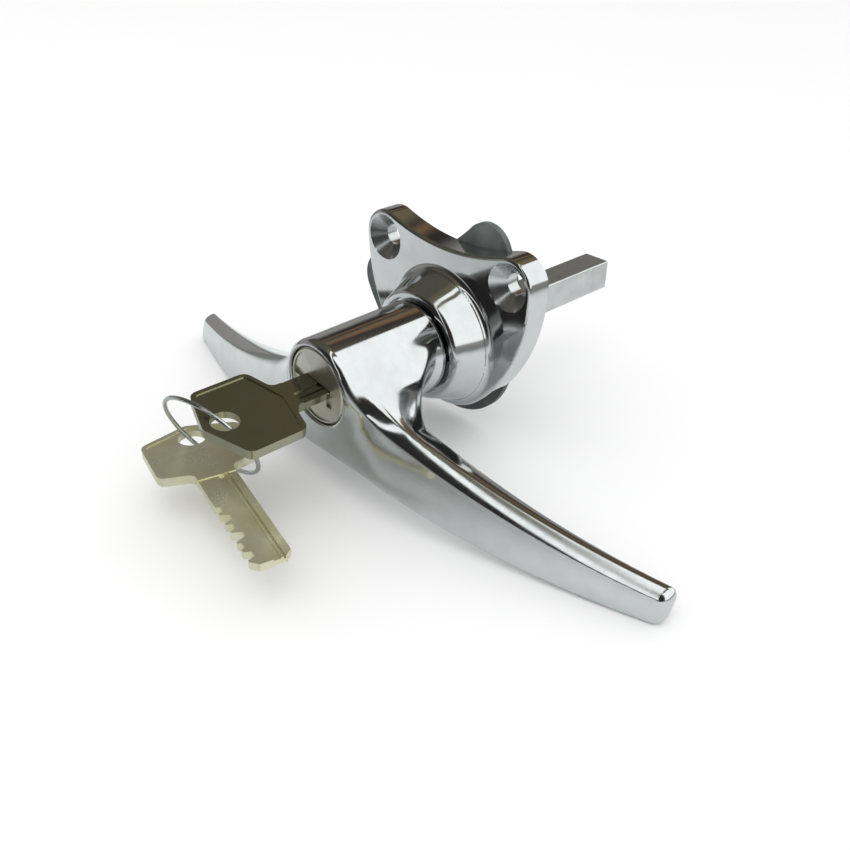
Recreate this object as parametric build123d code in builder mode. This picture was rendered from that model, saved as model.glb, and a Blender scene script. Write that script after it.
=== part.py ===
"""Locking boot handle: a drooped T handle with a wafer lock in its barrel, on a two-screw base.

The handle turns in the collar of the base and carries a square spindle into the lid. The key turns
the lock's plug, whose eccentric pin drives a locking bolt up into a notch of the collar. All sizes are
in millimetres. The origin is on the spindle's axis, in the plane of the lid's outer skin. +Y runs into
the lid, +X to the right of someone who faces the lock, and +Z up.
"""

import os
from math import asin, atan2, cos, hypot, radians, sin, sqrt

from build123d import *

os.makedirs("parts", exist_ok=True)

# Base plate, collar and gasket
gasket_thickness = 1.5
gasket_turn = 27.0
gasket_aside = 1.5
gasket_drop = 4.2
gasket_bore_r = 10.0
gasket_hole_spacing = 37.0
gasket_hole_height = 17.7
plate_thickness = 6.2
screw_spacing = 41.3
screw_height = 19.3
screw_hole_r = 2.6
countersink_r = 5.7
countersink_angle = 90.0
ear_r = 6.9
lobe_r = 18.8
top_edge_height = 22.8
plate_edge_r = 0.8
collar_length = 8.8
collar_lip_r = 13.9
collar_root_r = 16.6
collar_lip_round = 0.9
collar_fillet_r = 1.6
web_thickness = 3.0
retainer_bore_r = 10.8

# Handle
barrel_length = 30.0
barrel_front_r = 11.0
barrel_back_r = 11.45
barrel_edge_r = 0.6
journal_r = 11.4
journal_fit = 0.06
shank_r = 7.5
shank_fit = 0.06
face_gap = 0.1
mouth_width = 0.7
mouth_depth = 1.4
arm_reach = 83.6
arm_ridge_setback = 0.4
arm_ridge_height = 4.4
arm_sweep = 14.9
arm_sweep_bend = 5.1
arm_droop = 39.8
arm_droop_bend = 15.7
arm_top_width = 9.9
arm_top_taper = 5.4
arm_top_dome = 0.3
arm_face_height = 17.4
arm_face_taper = 11.1
arm_face_lean = 14.0
arm_back_share = 0.8
arm_back_rise = 0.1
arm_round_share = 0.25
arm_root_half = 17.0
arm_root_blend = 24.0
arm_root_flare = 38.0
arm_root_fall = 1.6
arm_root_rise = 7.5
arm_root_advance = 3.4
arm_tip_r = 1.9
arm_tip_share = 0.8
arm_stations = (0.1, 0.145, 0.19, 0.26, 0.38, 0.57, 0.78)
arm_tip_stations = (2.4, 1.0, 0.32, 0.0)

# Spindle and its retainers
spindle_width = 8.0
spindle_edge_r = 0.5
spindle_reach = 53.4
spindle_web = 1.4
spindle_pin_r = 1.25
circlip_thickness = 0.8
circlip_r = 9.6
circlip_mouth = 3.4
groove_depth_shank = 0.6
thrust_washer_thickness = 0.6
washer_r = 10.3
spring_washer_height = 0.9
spring_washer_thickness = 0.5
retainer_gap = 0.03
washer_fit = 0.05
spindle_fit = 0.05
pin_fit = 0.03
pin_short = 0.2

# Lock
lock_bore_r = 9.45
lock_bore_depth = 29.4
sleeve_fit = 0.05
plug_flange_r = 9.15
plug_flange_depth = 1.9
plug_rim_width = 0.75
plug_rim_height = 0.35
plug_recess = 0.3
plug_gap = 0.1
plug_rim_bevel = 0.4
keyway_mouth_depth = 1.0
keyway_mouth_shift = 2.0
plug_r = 6.5
plug_fit = 0.06
plug_length = 24.6
sleeve_back = 1.2
tail_r = 3.0
tail_fit = 0.08
tail_groove = 0.6
clip_thickness = 0.8
clip_r = 5.4
clip_mouth = 3.2
wafer_count = 6
wafer_pitch = 3.3
wafer_first = 3.4
wafer_thickness = 0.8
wafer_width = 6.6
wafer_play = 0.08
wafer_channel_depth = 1.4

# Locking bolt and the eccentric pin that drives it
bolt_width = 6.8
bolt_thickness = 3.0
bolt_place = 5.2
bolt_foot = 3.4
bolt_top_r = 11.1
bolt_side_fit = 0.08
bolt_notch_gap = 0.3
eccentric = 1.6
eccentric_pin_r = 0.9
yoke_clearance = 0.12

# Keys and their ring
key_tilt = 8.7
bow_half_width = 11.7
bow_half_side = 7.1
bow_inner_apex = 10.1
bow_outer_apex = 11.2
bow_corner_r = 2.2
bow_thickness = 2.2
bow_rim = 1.1
bow_rim_height = 0.25
key_hole_r = 3.2
key_hole_place = 5.8
neck_length = 1.4
neck_fillet_r = 2.0
blade_width = 8.6
blade_thickness = 1.8
blade_length = 33.4
blade_tip = 1.6
blade_root = 2.0
groove_width = 1.5
groove_depth = 0.35
groove_place = 0.9
slit_width = 0.5
slit_depth = 0.6
slit_place = 2.4
keyway_gap = 0.15
cut_width = 1.5
cut_flank = 0.4
cut_depths = (1.0, 1.9, 1.3, 2.2, 0.8, 1.6)
key_depth = 25.4
spare_key_aside = 14.1
spare_key_ahead = 4.9
spare_key_below = 14.7
spare_key_heading = -13.1
ring_r = 12.5
ring_wire_r = 0.5
ring_aside = 0.3
ring_split = 4.0
ring_lean = (0.21, -0.89, -0.41)

# How far a cutting shape runs past the surface that it cuts
overcut = 1.0

# Planes along the spindle's axis
seat_y = -gasket_thickness
plate_front_y = seat_y - plate_thickness
lip_y = plate_front_y - collar_length
face_y = lip_y - barrel_length
web_front_y = plate_front_y + face_gap
web_back_y = web_front_y + web_thickness
lock_floor_y = face_y + lock_bore_depth
flange_front_y = face_y + plug_recess
flange_back_y = flange_front_y + plug_flange_depth
plug_back_y = flange_back_y + plug_length
sleeve_end_y = plug_back_y + plug_gap + sleeve_back
clip_front_y = sleeve_end_y + plug_gap
bolt_front_y = plate_front_y - bolt_place
bolt_back_y = bolt_front_y + bolt_thickness
socket_y = bolt_back_y + bolt_side_fit + spindle_web
shank_end_y = seat_y - face_gap
key_centre_y = flange_front_y - blade_length - bow_inner_apex + key_depth
bolt_travel = sqrt(2) * eccentric
eccentric_side = eccentric / sqrt(2)
notch_top = bolt_top_r + bolt_travel + bolt_notch_gap
pin_y = (web_front_y + web_back_y) / 2
thrust_front_y = web_back_y + retainer_gap
spring_front_y = thrust_front_y + thrust_washer_thickness + retainer_gap
circlip_front_y = spring_front_y + spring_washer_height + retainer_gap
groove_front_y = circlip_front_y - retainer_gap
groove_back_y = circlip_front_y + circlip_thickness + retainer_gap
key_tip_y = flange_front_y + key_depth


def wafer_y(number):
    """The plane of a wafer, counted from the front of the plug."""
    return flange_back_y + wafer_first + number * wafer_pitch


def facing(y):
    """A sketch plane across the spindle's axis: x to the right, y up, its normal to the front."""
    return Plane(origin=(0, y, 0), x_dir=(1, 0, 0), z_dir=(0, -1, 0))


def base_outline(inset=0.0):
    """Two ears under a hollow top edge, with full sides that run into a round lower lobe."""
    ear_x = screw_spacing / 2
    ear = ear_r - inset
    lobe = lobe_r - inset
    low = top_edge_height - inset
    rise = screw_height - low
    hollow_r = (ear_x**2 + rise**2 - ear**2) / (2 * (ear + rise))
    hollow_z = low + hollow_r
    share = ear / hypot(ear_x, hollow_z - screw_height)
    top_x = ear_x - ear_x * share
    top_z = screw_height + (hollow_z - screw_height) * share
    edge_x = ear_x + ear
    side_r = (edge_x**2 + screw_height**2 - lobe**2) / (2 * (edge_x - lobe))
    side_x = edge_x - side_r
    fall = side_r / hypot(side_x, screw_height)
    low_x = side_x - side_x * fall
    low_z = screw_height - screw_height * fall
    mid = asin((screw_height - low_z) / side_r) / 2
    ear_turn = atan2(top_z - screw_height, top_x - ear_x) / 2
    with BuildSketch(Plane.XY) as outline:
        with BuildLine():
            for side in (1, -1):
                ThreePointArc(
                    (side * top_x, top_z),
                    (side * (ear_x + ear * cos(ear_turn)), screw_height + ear * sin(ear_turn)),
                    (side * edge_x, screw_height),
                )
                ThreePointArc(
                    (side * edge_x, screw_height),
                    (side * (side_x + side_r * cos(mid)), screw_height - side_r * sin(mid)),
                    (side * low_x, low_z),
                )
            ThreePointArc((top_x, top_z), (0, low), (-top_x, top_z))
            ThreePointArc((low_x, low_z), (0, -lobe), (-low_x, low_z))
        make_face()
    return outline.sketch


# Base plate with its collar: the casting that the two screws hold on the lid
with BuildPart() as base_plate:
    with BuildSketch(facing(seat_y)):
        add(base_outline())
    extrude(amount=plate_thickness)
    fillet(base_plate.faces().sort_by(Axis.Y)[0].edges(), radius=plate_edge_r)
    with BuildSketch(Plane.XY):
        with BuildLine():
            Polyline(
                (0, seat_y - 1),
                (0, lip_y),
                (collar_lip_r - collar_lip_round, lip_y),
            )
            collar_side = Line(
                (collar_lip_r, lip_y + collar_lip_round),
                (collar_root_r, plate_front_y - collar_fillet_r),
            )
            TangentArc(
                (collar_lip_r, lip_y + collar_lip_round),
                (collar_lip_r - collar_lip_round, lip_y),
                tangent=collar_side % 0 * -1,
            )
            CenterArc(
                (collar_root_r + collar_fillet_r, plate_front_y - collar_fillet_r),
                collar_fillet_r,
                90,
                90,
            )
            Polyline(
                (collar_root_r + collar_fillet_r, plate_front_y),
                (collar_root_r + collar_fillet_r, seat_y - 1),
                (0, seat_y - 1),
            )
        make_face()
    revolve(axis=Axis.Y)

    # Journal bore with an open mouth, bore for the shank, and room for its retainers
    with BuildSketch(facing(lip_y)):
        Circle(journal_r + journal_fit + mouth_width)
    extrude(amount=-mouth_depth, mode=Mode.SUBTRACT)
    with BuildSketch(facing(lip_y)):
        Circle(journal_r + journal_fit)
    extrude(amount=lip_y - web_front_y, mode=Mode.SUBTRACT)
    with BuildSketch(facing(web_front_y)):
        Circle(shank_r + shank_fit)
    extrude(amount=web_front_y - seat_y, mode=Mode.SUBTRACT)
    with BuildSketch(facing(web_back_y)):
        Circle(retainer_bore_r)
    extrude(amount=web_back_y - seat_y, mode=Mode.SUBTRACT)

    # Countersunk screw holes in the ears
    with Locations(facing(plate_front_y)):
        with Locations((-screw_spacing / 2, screw_height), (screw_spacing / 2, screw_height)):
            CounterSinkHole(screw_hole_r, countersink_r, plate_thickness, countersink_angle)

    # Notches for the locking bolt, at the closed and at the open position
    with BuildSketch(facing(bolt_back_y + bolt_notch_gap)):
        for turn in (0, -90):
            with Locations(Location((0, 0), turn)):
                with Locations((0, (notch_top + shank_r) / 2)):
                    Rectangle(bolt_width + 2 * bolt_notch_gap, notch_top - shank_r)
    extrude(amount=bolt_thickness + 2 * bolt_notch_gap, mode=Mode.SUBTRACT)

# Gasket: the base's outline in rubber, loose on the spindle, turned and dropped
with BuildPart() as gasket:
    with BuildSketch(facing(0)):
        with Locations(Location((-gasket_aside, -gasket_drop, 0), gasket_turn)):
            add(base_outline())
            Circle(gasket_bore_r, mode=Mode.SUBTRACT)
            with Locations(
                (-gasket_hole_spacing / 2, gasket_hole_height),
                (gasket_hole_spacing / 2, gasket_hole_height),
            ):
                Circle(screw_hole_r, mode=Mode.SUBTRACT)
    extrude(amount=gasket_thickness)


def arm_ridge(reach):
    """The arm's front top edge at a distance from the axis, swept back and drooping."""
    t = reach / arm_reach
    ridge_y = face_y + arm_ridge_setback + arm_sweep * t + arm_sweep_bend * t**2
    ridge_z = arm_ridge_height - arm_droop * t + arm_droop_bend * t**2
    return Vector(ridge_y, ridge_z)


def soft_corner(before, corner, after, length):
    """A curve that rounds a corner off between two straight sides."""
    start = corner + (before - corner).normalized() * length
    end = corner + (after - corner).normalized() * length
    return Bezier(start, corner, end)


def arm_section(reach):
    """The arm's outline at a distance from the axis: ridge, domed top, back and leaning front."""
    out = abs(reach)
    near = max(0.0, 1 - out / arm_root_blend)
    flare = arm_root_flare * near**arm_root_fall
    spent = max(0.0, out - arm_reach + arm_tip_r) / arm_tip_r
    trim = arm_tip_r * (1 - sqrt(1 - arm_tip_share * spent**2))
    width = arm_top_width - arm_top_taper * out / arm_reach - 2 * trim
    lean = radians(arm_face_lean)

    # The front's low edge runs straight below the lock, between the roots of the arms
    foot = max(out, arm_root_half)
    height = arm_face_height - arm_face_taper * foot / arm_reach
    low = arm_ridge(foot) - Vector(sin(lean), cos(lean)) * height + Vector(trim, trim)
    ridge = arm_ridge(out) + Vector(trim - arm_root_advance * near**2, arm_root_rise * near**2 - trim)
    top = ridge + Vector(width + flare, 0)
    crown = (ridge + top) * 0.5 + Vector(0, arm_top_dome * width)
    back = low + Vector(arm_back_share, arm_back_rise) * (width + flare / 2)
    with BuildSketch(Plane(origin=(reach, 0, 0), x_dir=(0, 1, 0), z_dir=(1, 0, 0))) as section:
        with BuildLine():
            length = width * arm_round_share
            at_ridge = soft_corner(low, ridge, crown, length)
            at_top = soft_corner(crown, top, back, length)
            at_back = soft_corner(top, back, low, length)
            at_low = soft_corner(back, low, ridge, length)
            Bezier(at_ridge @ 1, crown, at_top @ 0)
            Line(at_top @ 1, at_back @ 0)
            Line(at_back @ 1, at_low @ 0)
            Line(at_low @ 1, at_ridge @ 0)
        make_face()
    return section.sketch


def round_body(radius, start_y, end_y):
    """Adds a round body about the spindle's axis between two planes."""
    with BuildSketch(facing(end_y)) as disc:
        Circle(radius)
    extrude(disc.sketch, amount=end_y - start_y)


def round_bore(radius, start_y, end_y):
    """Cuts a round bore about the spindle's axis between two planes."""
    with BuildSketch(facing(end_y)) as disc:
        Circle(radius)
    extrude(disc.sketch, amount=end_y - start_y, mode=Mode.SUBTRACT)


def notch_box(width, low, high, start_y, end_y):
    """Cuts a straight-sided pocket, centred left to right, between two heights."""
    with BuildSketch(facing(end_y)) as pocket:
        with Locations((0, (low + high) / 2)):
            Rectangle(width, high - low)
    extrude(pocket.sketch, amount=end_y - start_y, mode=Mode.SUBTRACT)


# Handle: barrel, journal and shank in one, with two drooped arms
with BuildPart() as handle:
    with BuildSketch(Plane(origin=(0, 0, 0), x_dir=(0, 0, 1), z_dir=(-1, 0, 0))):
        with BuildLine():
            Polyline(
                (0, shank_end_y),
                (0, face_y),
                (barrel_front_r - barrel_edge_r, face_y),
                (barrel_front_r, face_y + barrel_edge_r),
                (barrel_back_r, lip_y - face_gap),
                (journal_r, lip_y),
                (journal_r, plate_front_y),
                (shank_r, plate_front_y),
                (shank_r, shank_end_y),
                close=True,
            )
        make_face()
    revolve(axis=Axis.Y)
    with BuildPart(mode=Mode.PRIVATE) as arms:
        reaches = [arm_reach * share for share in arm_stations]
        reaches += [arm_reach - arm_tip_r * share for share in arm_tip_stations]
        for reach in [-reach for reach in reversed(reaches)] + reaches:
            add(arm_section(reach))
        loft()
    add(arms.part)

    # Front of the hub, level with the end of the barrel
    with BuildSketch(facing(face_y)):
        Rectangle(4 * arm_root_half, 4 * arm_root_half)
    extrude(amount=overcut, mode=Mode.SUBTRACT)

    # Bore for the lock, core bore for the plug's tail, and the bolt's chamber
    round_bore(lock_bore_r, face_y, lock_floor_y)
    round_bore(tail_r + tail_fit, lock_floor_y, bolt_front_y)
    notch_box(
        bolt_width + 2 * bolt_side_fit,
        -bolt_foot - bolt_side_fit,
        journal_r + overcut,
        bolt_front_y - bolt_side_fit,
        bolt_back_y + bolt_side_fit,
    )

    # Square socket for the spindle, hole for its pin and groove for the circlip
    with BuildSketch(facing(shank_end_y)):
        RectangleRounded(spindle_width + 2 * spindle_fit, spindle_width + 2 * spindle_fit, spindle_edge_r)
    extrude(amount=shank_end_y - socket_y, mode=Mode.SUBTRACT)
    with BuildSketch(Plane.YZ):
        with Locations((pin_y, 0)):
            Circle(spindle_pin_r + pin_fit)
    extrude(amount=shank_r + overcut, both=True, mode=Mode.SUBTRACT)
    with BuildSketch(facing(groove_back_y)):
        Circle(shank_r + overcut)
        Circle(shank_r - groove_depth_shank, mode=Mode.SUBTRACT)
    extrude(amount=groove_back_y - groove_front_y, mode=Mode.SUBTRACT)

# Spindle: square bar with a chamfered free end
with BuildPart() as spindle:
    with BuildSketch(facing(socket_y + face_gap)):
        RectangleRounded(spindle_width, spindle_width, spindle_edge_r)
    extrude(amount=socket_y + face_gap - spindle_reach)
    chamfer(spindle.faces().sort_by(Axis.Y)[-1].edges(), length=spindle_edge_r)
    with BuildSketch(Plane.YZ):
        with Locations((pin_y, 0)):
            Circle(spindle_pin_r + pin_fit)
    extrude(amount=spindle_width, both=True, mode=Mode.SUBTRACT)

# Cross pin that holds the spindle in the shank
with BuildPart() as spindle_pin:
    with BuildSketch(Plane.YZ):
        with Locations((pin_y, 0)):
            Circle(spindle_pin_r)
    extrude(amount=shank_r - pin_short, both=True)

# Thrust washer, conical spring washer and circlip, on the shank behind the web
with BuildPart() as thrust_washer:
    round_body(washer_r, thrust_front_y, thrust_front_y + thrust_washer_thickness)
    round_bore(shank_r + washer_fit, thrust_front_y, thrust_front_y + thrust_washer_thickness)

with BuildPart() as spring_washer:
    with BuildSketch(Plane.XY):
        with BuildLine():
            Polyline(
                (shank_r + washer_fit, spring_front_y),
                (washer_r, spring_front_y + spring_washer_height - spring_washer_thickness),
                (washer_r, spring_front_y + spring_washer_height),
                (shank_r + washer_fit, spring_front_y + spring_washer_thickness),
                close=True,
            )
        make_face()
    revolve(axis=Axis.Y)

with BuildPart() as circlip:
    round_body(circlip_r, circlip_front_y, circlip_front_y + circlip_thickness)
    round_bore(shank_r - groove_depth_shank + washer_fit, circlip_front_y, circlip_front_y + circlip_thickness)
    notch_box(circlip_mouth, -circlip_r - overcut, 0, circlip_front_y, circlip_front_y + circlip_thickness)

# Sleeve of the lock: a cup with channels above and below the plug for the wafers
with BuildPart() as lock_sleeve:
    round_body(lock_bore_r - sleeve_fit, flange_back_y + plug_gap, sleeve_end_y)
    round_bore(plug_r + plug_fit, flange_back_y + plug_gap, plug_back_y + plug_gap)
    round_bore(tail_r + tail_fit, plug_back_y, sleeve_end_y)
    with BuildSketch(facing(plug_back_y + plug_gap)):
        with Locations(Location((0, 0), -key_tilt)):
            Rectangle(2 * (plug_r + wafer_channel_depth), wafer_width + 2 * wafer_play)
    extrude(amount=plug_back_y - flange_back_y, mode=Mode.SUBTRACT)

# Plug of the lock: rimmed flange, round body, tail and eccentric pin
with BuildPart() as lock_plug:
    round_body(plug_flange_r, flange_front_y, flange_back_y)
    chamfer(lock_plug.faces().sort_by(Axis.Y)[0].edges(), length=plug_rim_bevel)
    round_bore(plug_flange_r - plug_rim_width, flange_front_y, flange_front_y + plug_rim_height)
    round_body(plug_r, flange_back_y, plug_back_y)
    round_body(tail_r, plug_back_y, bolt_front_y - plug_gap)
    with BuildSketch(facing(bolt_back_y - plug_gap)):
        with Locations((-eccentric_side, -eccentric_side)):
            Circle(eccentric_pin_r)
    extrude(amount=bolt_thickness + plug_gap)

    # Keyway along the blade, and its shallow wider mouth in the flange
    with BuildSketch(facing(key_tip_y + plug_gap)):
        with Locations(Location((0, 0), -key_tilt)):
            Rectangle(blade_width + 2 * keyway_gap, blade_thickness + 2 * keyway_gap)
    extrude(amount=key_depth + overcut, mode=Mode.SUBTRACT)
    with BuildSketch(facing(flange_front_y + keyway_mouth_depth)):
        with Locations(Location((0, 0), -key_tilt)):
            with Locations((-keyway_mouth_shift, 0)):
                Rectangle(blade_width + 2 * keyway_mouth_shift, blade_thickness + 2 * keyway_gap)
            with Locations((blade_width / 2, -blade_thickness)):
                Rectangle(blade_thickness, 2 * blade_thickness)
    extrude(amount=keyway_mouth_depth, mode=Mode.SUBTRACT)

    # Slots for the wafers and groove for the clip on the tail
    for number in range(wafer_count):
        with BuildSketch(facing(wafer_y(number) + wafer_thickness / 2 + wafer_play)):
            with Locations(Location((0, 0), -key_tilt)):
                Rectangle(2 * (plug_r + overcut), wafer_width + 2 * wafer_play)
        extrude(amount=wafer_thickness + 2 * wafer_play, mode=Mode.SUBTRACT)
    with BuildSketch(facing(clip_front_y + clip_thickness + retainer_gap)):
        Circle(tail_r + overcut)
        Circle(tail_r - tail_groove, mode=Mode.SUBTRACT)
    extrude(amount=clip_thickness + 2 * retainer_gap, mode=Mode.SUBTRACT)

# Wafers: six flat plates with a window for the blade and rounded ends
wafers = []
for number in range(wafer_count):
    with BuildPart() as wafer:
        with BuildSketch(facing(wafer_y(number) + wafer_thickness / 2)):
            with Locations(Location((0, 0), -key_tilt)):
                Circle(plug_r - wafer_play)
                Rectangle(2 * plug_r, wafer_width, mode=Mode.INTERSECT)
                Rectangle(
                    blade_width + 4 * keyway_gap,
                    blade_thickness + 4 * keyway_gap,
                    mode=Mode.SUBTRACT,
                )
        extrude(amount=wafer_thickness)
    wafers.append(wafer)

# Open clip that keeps the plug in its sleeve
with BuildPart() as plug_clip:
    round_body(clip_r, clip_front_y, clip_front_y + clip_thickness)
    round_bore(tail_r - tail_groove + washer_fit, clip_front_y, clip_front_y + clip_thickness)
    notch_box(clip_mouth, -clip_r - overcut, 0, clip_front_y, clip_front_y + clip_thickness)

# Locking bolt: a flat slide with a yoke slot for the eccentric pin and a rounded nose
with BuildPart() as locking_bolt:
    with BuildSketch(facing(bolt_back_y)):
        Circle(bolt_top_r)
        with Locations((0, (bolt_top_r - bolt_foot) / 2)):
            Rectangle(bolt_width, bolt_top_r + bolt_foot, mode=Mode.INTERSECT)
        with Locations((-(eccentric + eccentric_side) / 2, -eccentric_side)):
            Rectangle(
                eccentric - eccentric_side + 2 * (eccentric_pin_r + yoke_clearance),
                2 * (eccentric_pin_r + yoke_clearance),
                mode=Mode.SUBTRACT,
            )
    extrude(amount=bolt_thickness)


def bow_outline():
    """The key's six-sided bow with rounded corners."""
    with BuildSketch(Plane.XY) as outline:
        with BuildLine():
            Polyline(
                (0, -bow_outer_apex),
                (bow_half_width, -bow_half_side),
                (bow_half_width, bow_half_side),
                (0, bow_inner_apex),
                (-bow_half_width, bow_half_side),
                (-bow_half_width, -bow_half_side),
                close=True,
            )
        make_face()
        fillet(outline.vertices(), radius=bow_corner_r)
    return outline.sketch


def bow_and_neck():
    """The bow with a short neck as wide as the blade, which flows into it through two fillets."""
    joint = bow_inner_apex - (bow_inner_apex - bow_half_side) * blade_width / 2 / bow_half_width
    with BuildSketch(Plane.XY) as outline:
        add(bow_outline())
        with Locations((0, bow_inner_apex + (neck_length - blade_root) / 2)):
            Rectangle(blade_width, neck_length + blade_root)
        fillet(outline.vertices().sort_by_distance((0, joint, 0))[:2], radius=neck_fillet_r)
    return outline.sketch


def blade_outline():
    """The blade seen flat: cut edge on the left, plain edge on the right, slanted tip."""
    tip = bow_inner_apex + blade_length
    half = blade_width / 2
    cut_edge = [(-half, bow_inner_apex - blade_root)]
    for number in range(wafer_count):
        place = wafer_y(number) - key_centre_y
        floor = cut_depths[number] - half
        lead = cut_width / 2 + cut_depths[number] * cut_flank
        cut_edge.append((-half, place - lead))
        cut_edge.append((floor, place - cut_width / 2))
        cut_edge.append((floor, place + cut_width / 2))
        cut_edge.append((-half, place + lead))
    with BuildSketch(Plane.XY) as outline:
        with BuildLine():
            Polyline(
                *cut_edge,
                (-half, tip - blade_tip),
                (-half + blade_tip, tip),
                (half - blade_tip, tip),
                (half, tip - blade_tip),
                (half, bow_inner_apex - blade_root),
                close=True,
            )
        make_face()
    return outline.sketch


def key_body():
    """A key lying flat: rimmed bow with a hole for the ring, and a cut blade with two grooves."""
    extrude(bow_and_neck(), amount=bow_thickness / 2, both=True)
    extrude(blade_outline(), amount=blade_thickness / 2, both=True)
    for side in (1, -1):
        with BuildSketch(Plane.XY.offset(side * bow_thickness / 2)) as field:
            offset(bow_outline(), amount=-bow_rim)
        extrude(field.sketch, amount=-side * bow_rim_height, mode=Mode.SUBTRACT)
        grooves = ((groove_place, groove_width, groove_depth), (slit_place, slit_width, slit_depth))
        for place, width, depth in grooves:
            with BuildSketch(Plane.XY.offset(side * blade_thickness / 2)) as groove:
                with Locations((place, bow_inner_apex + (blade_length + neck_length) / 2)):
                    Rectangle(width, blade_length - neck_length)
            extrude(groove.sketch, amount=-side * depth, mode=Mode.SUBTRACT)
    with Locations((0, -key_hole_place, 0)):
        Hole(key_hole_r)


# The key in the lock and the spare key beside it, cut from one blank
with BuildPart() as flat_key:
    key_body()

width_way = Vector(cos(radians(key_tilt)), 0, -sin(radians(key_tilt)))
key_plane = Plane(origin=(0, key_centre_y, 0), x_dir=width_way, z_dir=width_way.cross(Vector(0, 1, 0)))
with BuildPart() as key:
    add(flat_key.part.moved(key_plane.location))

heading = radians(spare_key_heading)
spare_way = Vector(cos(heading), sin(heading), 0)
spare_centre = key_plane.origin - Vector(spare_key_aside, spare_key_ahead, spare_key_below)
spare_plane = Plane(origin=spare_centre, x_dir=Vector(0, 0, 1).cross(spare_way), z_dir=(0, 0, -1))
with BuildPart() as spare_key:
    add(flat_key.part.moved(spare_plane.location))

# Key ring: a split wire ring through the holes of both keys
hole_a = key_plane.from_local_coords((ring_aside, -key_hole_place, 0))
hole_b = spare_plane.from_local_coords((0, -key_hole_place, 0))
chord = hole_b - hole_a
lean = Vector(*ring_lean) - chord * (Vector(*ring_lean).dot(chord) / chord.dot(chord))
aside = lean.normalized().cross(chord.normalized())
ring_centre = (hole_a + hole_b) * 0.5 + aside * sqrt(ring_r**2 - chord.dot(chord) / 4)
ring_plane = Plane(origin=ring_centre, x_dir=aside, z_dir=lean.normalized())
with BuildPart() as key_ring:
    with BuildLine(ring_plane) as ring_path:
        CenterArc((0, 0), ring_r, ring_split / 2, 360 - ring_split)
    with BuildSketch(Plane(origin=ring_path.line @ 0, z_dir=ring_path.line % 0)):
        Circle(ring_wire_r)
    sweep()


pieces = {
    "base_plate": base_plate,
    "gasket": gasket,
    "handle": handle,
    "spindle": spindle,
    "spindle_pin": spindle_pin,
    "thrust_washer": thrust_washer,
    "spring_washer": spring_washer,
    "circlip": circlip,
    "lock_sleeve": lock_sleeve,
    "lock_plug": lock_plug,
    "plug_clip": plug_clip,
    "locking_bolt": locking_bolt,
    "key": key,
    "spare_key": spare_key,
    "key_ring": key_ring,
}
for number, wafer in enumerate(wafers):
    pieces[f"wafer_{number + 1}"] = wafer

for name, piece in pieces.items():
    piece.part.label = name
    export_step(piece.part, f"parts/{name}.step")
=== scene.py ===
"""Locking boot handle: chrome handle, base, gasket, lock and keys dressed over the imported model."""

import math

import bmesh
import bpy
import numpy as np
from bpy.props import FloatProperty, FloatVectorProperty, PointerProperty
from mathutils import Matrix, Vector


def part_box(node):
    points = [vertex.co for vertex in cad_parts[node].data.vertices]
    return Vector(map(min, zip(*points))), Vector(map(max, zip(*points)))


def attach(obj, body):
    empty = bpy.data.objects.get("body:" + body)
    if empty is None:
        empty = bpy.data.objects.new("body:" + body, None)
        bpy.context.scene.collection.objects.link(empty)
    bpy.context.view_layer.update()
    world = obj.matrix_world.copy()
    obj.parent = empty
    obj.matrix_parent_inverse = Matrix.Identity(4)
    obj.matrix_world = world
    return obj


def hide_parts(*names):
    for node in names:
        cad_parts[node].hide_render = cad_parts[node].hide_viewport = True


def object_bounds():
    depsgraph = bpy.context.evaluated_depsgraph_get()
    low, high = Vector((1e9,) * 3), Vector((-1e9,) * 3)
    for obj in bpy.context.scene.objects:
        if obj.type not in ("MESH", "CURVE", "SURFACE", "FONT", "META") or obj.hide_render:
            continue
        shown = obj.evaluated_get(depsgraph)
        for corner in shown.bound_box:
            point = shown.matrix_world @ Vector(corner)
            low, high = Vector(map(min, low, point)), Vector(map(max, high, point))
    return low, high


bl_info = {
    "name": "Boot handle",
    "version": (1, 0, 0),
    "blender": (4, 5, 0),
    "location": "View3D > Sidebar > Boot handle",
    "description": "Dresses a locking boot handle over its packed model",
    "category": "Object",
}

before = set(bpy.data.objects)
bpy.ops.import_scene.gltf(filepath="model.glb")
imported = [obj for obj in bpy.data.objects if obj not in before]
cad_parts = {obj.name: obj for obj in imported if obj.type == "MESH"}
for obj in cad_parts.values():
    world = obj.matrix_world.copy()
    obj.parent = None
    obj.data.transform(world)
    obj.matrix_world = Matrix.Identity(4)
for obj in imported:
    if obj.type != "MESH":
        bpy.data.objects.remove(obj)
CAD_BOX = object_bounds()

MM = 0.001

# The photograph's side in pixels and the camera's sensor, which together turn focal pixels into a lens.
IMAGE_SIDE = 850
SENSOR_MM = 36.0

FLOOR_GAP = 0.2 * MM
FLOOR_ROUGHNESS = 0.75

# Patterns: features in a metre.
CLOUD_SCALE = 150.0
WIPE_SCALE = 900.0
WAVE_SCALE = 80.0
GRAIN_SCALE = 2600.0
PLATING_SCALE = 220.0
SCRATCH_SCALE = 1500.0
CROSS_SCALE = 1300.0
MOULD_SCALE = 3500.0
DUST_SCALE = 90.0
PAINT_SCALE = 8.0

# How much rougher a countersink's cut wall is than the plate round it.
COUNTERSINK_ROUGHNESS = 0.17

# Edges that bend less than this many degrees look smooth.
SOFT_ANGLE = 28.0
MERGE_DISTANCE = 2e-6

# The arms' outlines: how many there are, and the steps along each stretch of one.
OUTLINES = 380
RIDGE_STEPS, CROWN_STEPS, TOP_STEPS, REAR_STEPS = 18, 34, 14, 3
BACK_STEPS, UNDER_STEPS, LOW_STEPS, FRONT_STEPS = 6, 3, 8, 7
POINTS_AT_ONCE = 4000

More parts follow.
